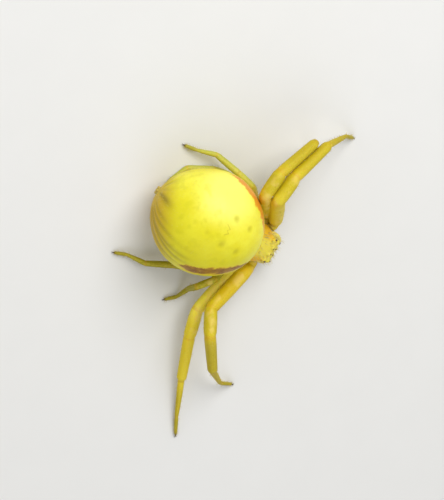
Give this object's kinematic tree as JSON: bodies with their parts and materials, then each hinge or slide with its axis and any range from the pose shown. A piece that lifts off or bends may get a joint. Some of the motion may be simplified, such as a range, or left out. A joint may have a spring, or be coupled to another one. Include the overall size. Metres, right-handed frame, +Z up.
{
  "type": "crab spider",
  "caption": "Still life-size model of a yellow crab spider female with a swollen round abdomen and long front legs, standing on its feet and belly.",
  "frame": {"origin": "centre of the small flat under the belly, on the floor", "axes": "+Z up; the abdomen's long axis lies along Y with the head towards -Y; +X is the spider's own left"},
  "size_m": [0.0216, 0.0126, 0.006],
  "materials": {
    "abdomen_cuticle": "soft satin skin, lemon yellow",
    "carapace_cuticle": "satin, orange-brown sides and a paler middle and face",
    "leg_cuticle": "satin, slightly translucent golden yellow",
    "palp_cuticle": "matte, pale straw",
    "spinneret_cuticle": "matte, yellow-brown"
  },
  "bodies": {
    "root": {"abdomen": "abdomen_cuticle", "cephalothorax": "carapace_cuticle", "chelicerae": "carapace_cuticle", "spinnerets": "spinneret_cuticle", "palp_left": "palp_cuticle", "palp_right": "palp_cuticle", "leg_left_1": "leg_cuticle", "leg_left_2": "leg_cuticle", "leg_left_3": "leg_cuticle", "leg_left_4": "leg_cuticle", "leg_right_1": "leg_cuticle", "leg_right_2": "leg_cuticle", "leg_right_3": "leg_cuticle", "leg_right_4": "leg_cuticle"}
  },
  "joints": []
}
